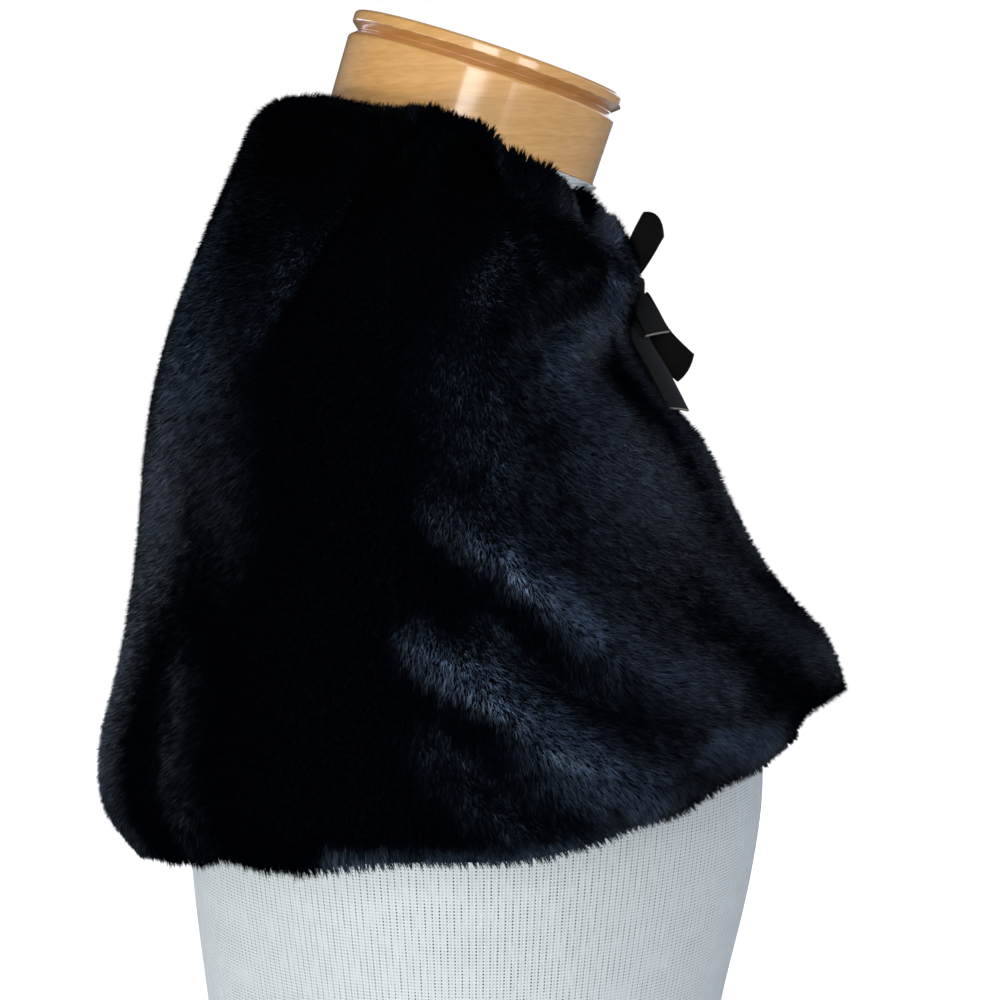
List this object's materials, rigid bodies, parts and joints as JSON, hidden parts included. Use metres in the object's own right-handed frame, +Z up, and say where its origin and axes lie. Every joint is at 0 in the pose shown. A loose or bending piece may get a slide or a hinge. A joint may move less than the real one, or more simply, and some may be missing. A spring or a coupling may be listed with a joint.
{
  "type": "fur cape on a dress form",
  "caption": "Short open-fronted fur cape in a back and fronts, tied at the neck with a ribbon bow, resting on a limbless dress form with a turned wooden neck block.",
  "frame": {"origin": "on the surface that the dress form stands on, under the middle of the part's box", "axes": "+Z up; the cape's front faces -Y and its wearer's right side is at -X"},
  "size_m": [0.4623, 0.2982, 0.6158],
  "materials": {
    "navy_fur": "deep plush pile, navy that is nearly black",
    "black_ribbon": "ribbed ribbon, soft sheen",
    "ivory_rib_knit": "fine rib knit, matt",
    "varnished_wood": "turned pale wood, gloss varnish"
  },
  "bodies": {
    "root": {"cape_back": "navy_fur", "cape_front_right": "navy_fur", "cape_front_left": "navy_fur", "tie_right": "black_ribbon", "tie_left": "black_ribbon", "bow_knot": "black_ribbon", "bow_loop_up": "black_ribbon", "bow_loop_down": "black_ribbon", "bow_tail_short": "black_ribbon", "bow_tail_long": "black_ribbon", "form_body": "ivory_rib_knit", "neck_block": "varnished_wood"}
  },
  "joints": []
}
